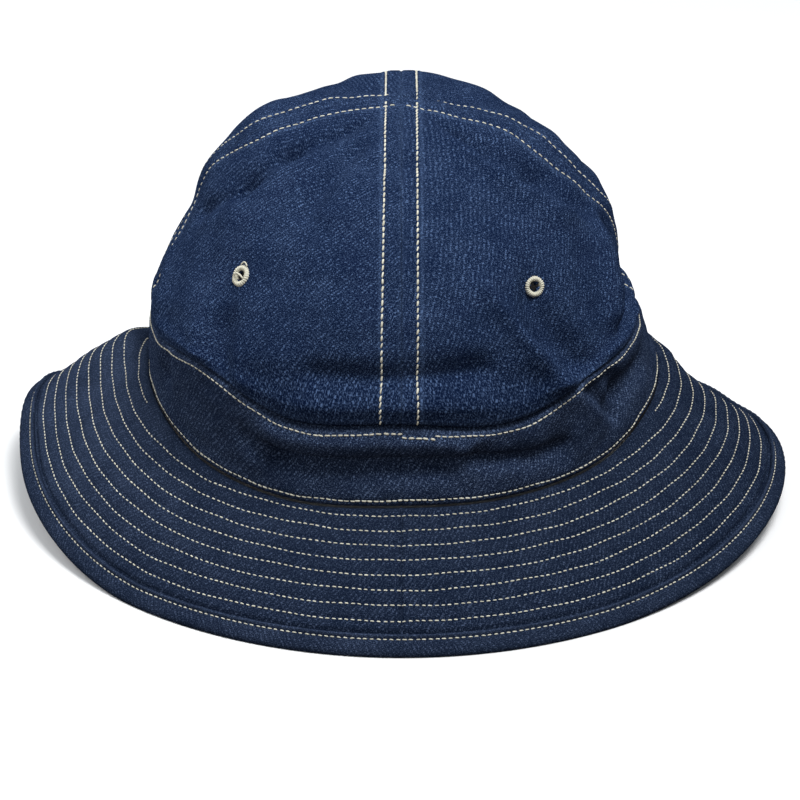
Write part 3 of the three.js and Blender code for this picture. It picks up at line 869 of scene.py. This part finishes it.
def crown_row(quarter, top_aside, bottom_aside):
    """Path beside the seam at a quarter turn; asides are signed distances at the top and at the bottom."""
    station = np.linspace(*ROW_ENDS, 500)
    aside = top_aside + (bottom_aside - top_aside) * station
    seam = seam_azimuth(quarter, station)
    azimuth = seam
    for _ in range(5):
        reach = np.linalg.norm(crown_form(azimuth, station)[:, :2], axis=1)
        azimuth = seam + np.arcsin(np.clip(aside / reach, -0.999, 0.999))
    return crown(azimuth, station), outward(crown, azimuth, station)


# columns: quarter, distance from the seam at the top and at the bottom
CROWN_ROWS = (
    (0, -5.3, -6.9), (0, 5.4, 5.3),
    (90, -5.6, -5.6), (90, 5.6, 5.6),
    (180, -5.5, -5.5), (180, 5.5, 5.5),
    (270, -5.6, -5.6), (270, 5.6, 5.6),
)
crown_rings = []
for quarter, top, bottom in CROWN_ROWS:
    path, facing = crown_row(quarter, top, bottom)
    crown_rings.append(stitches(path, facing, *(SIDE_SEAM if quarter % 180 else FRONT_SEAM)))
crown_thread = thread_mesh("thread_crown", np.concatenate(crown_rings))


def band_row(seam, start, end, shift):
    """Path along the band beside its upper or lower seam, wavering a little."""
    azimuth = np.radians(np.linspace(start, end, int(abs(end - start) * 4) + 2))
    width = width_of(band_form, azimuth)
    away = BAND_ROWS[seam] + shift + 0.18 * np.sin(azimuth * 17) + 0.12 * np.sin(azimuth * 41 + 1)
    station = away / width if seam == "upper" else 1 - away / width
    return band(azimuth, station), outward(band, azimuth, station)


# columns: seam, azimuth at both ends, shift, thickness
BAND_STITCHING = (
    ("upper", 6.5, 353.6, 0.0, 0.27),
    ("upper", -6.4, 0.4, 0.1, 0.36),
    ("upper", 0.0, 6.8, 0.95, 0.36),
    ("lower", 5.0, 351.0, 0.0, 0.27),
    ("lower", -9.2, 5.2, 0.25, 0.36),
)
band_rings = []
for *row, thick in BAND_STITCHING:
    band_rings.append(stitches(*band_row(*row), BAND_PITCH, BAND_LENGTH, thick, BAND_SLANT))
band_thread = thread_mesh("thread_band", np.concatenate(band_rings))

# %% [markdown]
# ## Rows of stitches on the brim
# A machine stitch locks two threads in the middle of the cloth, so the rows show on both faces. Each is
# worked out once for the upper and once for the under face.

# %% Brim rows
# height of the edge row over the brim's upper face, on the under face (0) and on the upper one (1)
EDGE_ROW_OVER = (-2.35, 0.66)


def brim_row(row, side, start=0.0, end=360.0):
    """Path of one quilting row on the upper face (side 1) or under face (side 0)."""
    azimuth = np.radians(np.linspace(start, end, int(abs(end - start) * 3) + 2))
    away = (FIRST_ROW + ROW_PITCH * row) * around(ROW_SCALE, azimuth)
    away = away + 0.16 * np.sin(azimuth * 13 + 2 * row) + 0.1 * np.sin(azimuth * 37 + row)
    station = 1 - away / width_of(brim_form, azimuth)
    facing = outward(brim_smooth, azimuth, station) * (2 * side - 1)
    return brim(azimuth, station, float(side)), facing


def edge_row(side):
    """Path of the row that holds the binding."""
    azimuth = np.linspace(0, 2 * np.pi, 1200)
    over = np.full_like(azimuth, EDGE_ROW_OVER[side])
    up = edge_frame(azimuth)[2]
    return binding_point(azimuth, np.full_like(azimuth, BINDING_ROW), over), up * (2 * side - 1)


brim_threads = []
for side, name in ((1, "thread_brim_upper"), (0, "thread_brim_under")):
    paths = [brim_row(row, side) for row in range(FULL_ROWS)]
    paths += [brim_row(FULL_ROWS, side, start, end) for start, end in SHORT_ROWS]
    paths.append(edge_row(side))
    rings = [stitches(path, facing, *QUILTING) for path, facing in paths]
    brim_threads.append(thread_mesh(name, np.concatenate(rings)))

# %% [markdown]
# ## Eyelets
# The eyelets are holes overcast with thread, so each is a torus whose thickness follows the count of the
# stitches. The left front one has a loose loop over its hole and a stray end of thread above it.

# %% Eyelets
EYELET_COLUMNS, EYELET_ROWS = 144, 12
EYELET_RADIUS, EYELET_WIDE, EYELET_HIGH = 3.2, 1.05, 1.3
EYELET_RIBS = 13
LOOP_RADIUS, STRAY_RADIUS = 0.33, 0.26


def tube(points, radius, sides=6):
    """Vertices and faces of a round thread along a path, closed at both ends."""
    forward = unit(np.gradient(points, axis=0))
    aside = unit(np.cross(forward, np.array([0.3, 0.2, 0.93])))
    up = np.cross(aside, forward)
    angle = full_turn(sides)
    spoke = up[:, None] * np.cos(angle)[:, None] + aside[:, None] * np.sin(angle)[:, None]
    return (points[:, None] + radius * spoke).reshape(-1, 3), tube_faces(len(points), sides)


def eyelet(side):
    """Ribbed torus round the hole, standing proud of both faces of the cloth."""
    spot = EYELETS[side]
    azimuth, station = np.radians(spot["azimuth"]), spot["station"]
    down = crown(azimuth, station + 0.04) - crown(azimuth, station - 0.04)
    facing = unit(np.cross(down, crown(azimuth + 0.05, station) - crown(azimuth - 0.05, station)))
    centre = crown(azimuth, station) - facing * CROWN_WALL / 4
    across = unit(np.cross([0.0, 0.0, 1.0], facing))
    upward = np.cross(facing, across)
    turn, section = np.meshgrid(full_turn(EYELET_COLUMNS), full_turn(EYELET_ROWS), indexing="ij")
    rib = 0.8 + 0.28 * np.abs(np.sin(turn * EYELET_RIBS)) + 0.06 * np.sin(turn * 5 + 1)
    radius = spot["size"] * (EYELET_RADIUS + EYELET_WIDE * rib * np.cos(section))
    height = EYELET_HIGH * rib * np.sin(section)
    flat = across * (radius * np.sin(turn))[..., None] + upward * (radius * np.cos(turn) * 1.02)[..., None]
    points = (centre + flat + facing * height[..., None]).reshape(-1, 3)
    faces = [torus_faces(EYELET_COLUMNS, EYELET_ROWS)]
    if side == "front_left":
        t = np.linspace(0, 1, 14)[:, None]
        arch = np.sin(np.pi * t)
        loop = across * (-2.6 + 4.8 * t) + upward * (0.9 * np.sin(3 * t) - 0.5)
        loop = loop + facing * (1.2 + 0.7 * arch)
        stray = across * (-1.4 + 3.0 * t) + upward * (3.6 + 1.2 * np.sin(2.9 * t))
        stray = stray + facing * (0.9 + 0.4 * arch)
        for path, thick in ((loop, LOOP_RADIUS), (stray, STRAY_RADIUS)):
            extra, extra_faces = tube(centre + path, thick)
            faces += [f + len(points) for f in extra_faces]
            points = np.concatenate([points, extra])
    coords = [np.zeros((*f.shape, 2)) for f in faces]
    kinds = [np.zeros(len(f)) for f in faces]
    return add_mesh(f"thread_eyelet_{side}", points, faces, coords, kinds, np.full(len(points), 0.5))


eyelets = {side: eyelet(side) for side in EYELETS}

# %% [markdown]
# ## Denim and thread
# Denim is a twill of dark warp and pale weft: the weft shows as pale dots over every fourth warp thread,
# one thread further on in each row. Each dot has a strength by chance; lint, slub streaks and soft clouds
# come on top. A node group works this out from the cloth coordinates. A picture of denim could be wrapped
# on instead, but it would repeat.

# %% Materials
WARP_PITCH = 0.42
WEFT_PITCH = 0.62
TWILL = 4.0
# scales of the noise that bends the warp, of the lint and of the clouds, and how far the warp is bent
DRIFT_SCALE, LINT_SCALE, CLOUD_SCALE, DRIFT = 0.3, 2.6, 0.055, 5.0
# strength of lint, slub, and wear and painted light, change by the clouds, and how rare strong dots are
LINT, SLUB, WEAR_AND_LIGHT, CLOUD, RARE = 0.75, 0.06, 0.8, (1.5, 0.25), 2.5
DOT_DEPTH = -0.3
WEAVE_RELIEF = 0.6
BUMP_DISTANCE = 0.0003
EVEN = (1, 1, 1)
ALONG_WARP = (1.7, 0.09, 1)


def new_group(name, inputs, outputs):
    """Empty node group with named inputs and outputs."""
    group = bpy.data.node_groups.new(name, "ShaderNodeTree")
    for label, kind in inputs:
        group.interface.new_socket(label, in_out="INPUT", socket_type=kind)
    for label, kind in outputs:
        group.interface.new_socket(label, in_out="OUTPUT", socket_type=kind)
    return group, group.nodes.new("NodeGroupInput"), group.nodes.new("NodeGroupOutput")


def put(tree, socket, value):
    """Link an output socket into an input, or set a plain value."""
    if isinstance(value, bpy.types.NodeSocket):
        tree.links.new(value, socket)
    else:
        socket.default_value = value


def node(tree, kind, settings, inputs, output=0):
    """New node with its settings and inputs filled in; gives back one of its outputs."""
    new = tree.nodes.new(kind)
    for key, value in settings.items():
        setattr(new, key, value)
    for key, value in inputs.items():
        put(tree, new.inputs[key], value)
    return new.outputs[output]


def sums(tree, operation, *values):
    """Math node on up to three values."""
    return node(tree, "ShaderNodeMath", {"operation": operation}, dict(enumerate(values)))


def from_middle(tree, value):
    """Distance of a count from the middle between two whole numbers."""
    return sums(tree, "ABSOLUTE", sums(tree, "SUBTRACT", sums(tree, "FRACT", value), 0.5))


def noise(tree, vector, stretch, scale, detail):
    """Noise of a stretched vector."""
    scaled = node(tree, "ShaderNodeVectorMath", {"operation": "MULTIPLY"}, {0: vector, 1: stretch})
    inputs = {"Vector": scaled, "Scale": scale, "Detail": detail}
    return node(tree, "ShaderNodeTexNoise", {}, inputs, "Fac")


def ramp(tree, value, low, high):
    """Smooth step of a value between two limits."""
    inputs = {"Value": value, "From Min": low, "From Max": high}
    return node(tree, "ShaderNodeMapRange", {"interpolation_type": "SMOOTHSTEP"}, inputs, "Result")


def blend(tree, share, first, second):
    """Mix of two colours."""
    return node(tree, "ShaderNodeMix", {"data_type": "RGBA"}, {"Factor": share, 6: first, 7: second}, 2)


def denim_group():
    """Dots of weft, lint, slub streaks and soft clouds that mix a dark and a pale colour."""
    vector, colour, number = "NodeSocketVector", "NodeSocketColor", "NodeSocketFloat"
    inputs = (("Cloth", vector), ("Dark", colour), ("Pale", colour), ("Wear_and_light", number))
    group, start, end = new_group("denim_weave", inputs, (("Color", colour), ("Height", number)))
    cloth = start.outputs["Cloth"]
    across_cloth, down_cloth = (node(group, "ShaderNodeSeparateXYZ", {}, {0: cloth}, axis) for axis in (0, 1))
    drift = noise(group, cloth, EVEN, DRIFT_SCALE, 1)
    end_count = sums(group, "MULTIPLY_ADD", drift, DRIFT, sums(group, "DIVIDE", across_cloth, WARP_PITCH))
    pick_count = sums(group, "DIVIDE", down_cloth, WEFT_PITCH)
    pick = sums(group, "FLOOR", pick_count)
    wale = sums(group, "DIVIDE", sums(group, "SUBTRACT", end_count, pick), TWILL)
    across, along = (from_middle(group, count) for count in (wale, pick_count))
    dot = sums(group, "MULTIPLY", ramp(group, across, 0.22, 0.08), ramp(group, along, 0.5, 0.25))
    which = node(group, "ShaderNodeCombineXYZ", {}, {0: sums(group, "FLOOR", wale), 1: pick})
    chance = node(group, "ShaderNodeTexWhiteNoise", {}, {"Vector": which}, "Value")
    fine = noise(group, cloth, EVEN, LINT_SCALE, 2)
    slub = ramp(group, noise(group, cloth, ALONG_WARP, 1.0, 2), 0.35, 0.75)
    cloud = noise(group, cloth, EVEN, CLOUD_SCALE, 3)
    speck = sums(group, "MULTIPLY", dot, sums(group, "POWER", chance, RARE))
    lint = ramp(group, fine, 0.47, 0.72)
    share = sums(group, "MULTIPLY_ADD", lint, LINT, sums(group, "MULTIPLY", slub, SLUB))
    share = sums(group, "ADD", speck, share)
    # the per-point value of wear and painted light makes the cloth paler
    share = sums(group, "MULTIPLY_ADD", start.outputs["Wear_and_light"], sums(group, "MULTIPLY", fine, WEAR_AND_LIGHT), share)
    share = sums(group, "MULTIPLY", share, sums(group, "MULTIPLY_ADD", cloud, *CLOUD))
    put(group, end.inputs["Color"], blend(group, share, start.outputs["Dark"], start.outputs["Pale"]))
    put(group, end.inputs["Height"], sums(group, "MULTIPLY_ADD", dot, DOT_DEPTH, fine))
    return group


def matte(name, roughness, gloss):
    """New material with a dull surface, and the inputs of its shader."""
    material = bpy.data.materials.new(name)
    material.use_nodes = True
    surface = material.node_tree.nodes["Principled BSDF"].inputs
    surface["Roughness"].default_value = roughness
    surface["Specular IOR Level"].default_value = gloss
    return material, surface


def wear_and_light_of(tree):
    """The value of wear and painted light stored with the points."""
    return node(tree, "ShaderNodeAttribute", {"attribute_name": "wear_and_light"}, {}, "Fac")


def denim(name, group, dark, pale):
    """Rough cloth coloured and bumped by the denim group."""
    material, surface = matte(name, 0.92, 0.0)
    tree = material.node_tree
    cloth = node(tree, "ShaderNodeUVMap", {"uv_map": "cloth"}, {}, "UV")
    weave = tree.nodes.new("ShaderNodeGroup")
    weave.node_tree = group
    put(tree, weave.inputs["Cloth"], cloth)
    put(tree, weave.inputs["Wear_and_light"], wear_and_light_of(tree))
    weave.inputs["Dark"].default_value = (*dark, 1)
    weave.inputs["Pale"].default_value = (*pale, 1)
    relief = {"Strength": WEAVE_RELIEF, "Distance": BUMP_DISTANCE, "Height": weave.outputs["Height"]}
    put(tree, surface["Base Color"], weave.outputs["Color"])
    put(tree, surface["Normal"], node(tree, "ShaderNodeBump", {}, relief, "Normal"))
    return material


def thread(name, low, high):
    """Matte cotton whose tone changes from stitch to stitch."""
    material, surface = matte(name, 0.85, 0.2)
    tree = material.node_tree
    put(tree, surface["Base Color"], blend(tree, wear_and_light_of(tree), (*low, 1), (*high, 1)))
    return material


weave_group = denim_group()
crown_denim = denim("crown_denim", weave_group, (0.0027, 0.0078, 0.03), (0.08, 0.132, 0.255))
brim_denim = denim("brim_denim", weave_group, (0.0035, 0.0075, 0.0195), (0.052, 0.074, 0.13))
# painted light: the band's denim is a paler, greyer copy of the crown's, lifting the shade under the crown's
# overhang
band_denim_painted_light = denim("band_denim_painted_light", weave_group, (0.006, 0.012, 0.033), (0.1, 0.145, 0.25))
reverse_denim = denim("reverse_denim", weave_group, (0.12, 0.15, 0.2), (0.42, 0.45, 0.48))
thread_cotton = thread("cotton_thread", (0.55, 0.53, 0.43), (0.74, 0.72, 0.6))
print("materials:", [m.name for m in (crown_denim, brim_denim, band_denim_painted_light, reverse_denim, thread_cotton)])

# %% [markdown]
# ## Joining pieces to the frame
# Each piece is tied to the frame's only body and says which CAD node it stands for.

# %% Finish and frame
def dress(piece, slot, materials, *nodes):
    """Give a piece its materials, tie it to the frame and let it stand for CAD nodes."""
    for material in materials:
        piece.data.materials.append(material)
    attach(piece, "root")
    if nodes:
        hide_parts(*nodes)


for side, panel in panels.items():
    dress(panel, "crown_denim", (crown_denim, reverse_denim), f"crown_{side}")
dress(hat_band, "brim_denim", (band_denim_painted_light, reverse_denim), "hat_band")
dress(brim_piece, "brim_denim", (brim_denim, brim_denim), "brim")
dress(binding, "brim_denim", (brim_denim,), "brim_binding")
for side, ring in eyelets.items():
    dress(ring, "thread", (thread_cotton,), f"eyelet_{side}")
for row in (crown_thread, band_thread, *brim_threads):
    dress(row, "thread", (thread_cotton,))

# %% [markdown]
# ## Light, floor and camera
# The hat stands on a white floor in even light. Three soft lamps shape it: the main one above the front
# right, a weaker one behind on the left, and a faint low one at the front left. The camera looks down at
# about 25 degrees from a little over a metre away.

# %% Stage
def soft_lamp(name, place_m, aim_m, size, power):
    """Square lamp aimed at a point."""
    data = bpy.data.lights.new(name, "AREA")
    data.size = size
    data.energy = power
    lamp = add_object(name, data)
    lamp.location = place_m
    way = np.array(aim_m) - np.array(place_m)
    tilt = np.arctan2(np.hypot(way[0], way[1]), -way[2])
    lamp.rotation_euler = (tilt, 0, np.arctan2(way[1], way[0]) - np.pi / 2)
    return lamp


floor_mesh = bpy.data.meshes.new("floor")
FLOOR = 6.0
corners = [(-FLOOR, -FLOOR, 0), (FLOOR, -FLOOR, 0), (FLOOR, FLOOR, 0), (-FLOOR, FLOOR, 0)]
floor_mesh.from_pydata(corners, [], [(0, 1, 2, 3)])
floor = add_object("floor", floor_mesh)
white, surface = matte("floor_white", 1.0, 0.0)
surface["Base Color"].default_value = (0.92, 0.92, 0.92, 1)
floor_mesh.materials.append(white)
lamps = [
    soft_lamp("key", (0.4, -0.5, 1.6), (0, 0, 0.06), 0.7, 26),
    soft_lamp("left", (-1.2, 0.5, 0.9), (0, 0, 0.05), 0.7, 9),
    soft_lamp("low", (-0.9, -1.0, 0.35), (0, 0, 0.06), 0.5, 2.5),
]
# the floor throws no light back on to the hat
floor.visible_diffuse = False

world = bpy.data.worlds.new("white_room")
world.use_nodes = True
room = world.node_tree
sky = node(room, "ShaderNodeTexCoord", {}, {}, "Generated")
above = ramp(room, node(room, "ShaderNodeSeparateXYZ", {}, {0: sky}, 2), -0.2, 0.9)
background = room.nodes["Background"]
put(room, background.inputs["Color"], blend(room, above, (0.18, 0.15, 0.125, 1), (0.46, 0.5, 0.54, 1)))
background.inputs["Strength"].default_value = 1.0
bpy.context.scene.world = world
bpy.context.scene.view_settings.view_transform = "Standard"

camera_data = bpy.data.cameras.new("camera")
camera_data.lens = 127.6
camera_data.sensor_width = 36
camera = add_object("camera", camera_data)
camera.location = (0, -0.9516, 0.4437)
camera.rotation_euler = np.radians((66.52, 0, 0.004))
bpy.context.scene.camera = camera
print("camera at", tuple(camera.location))
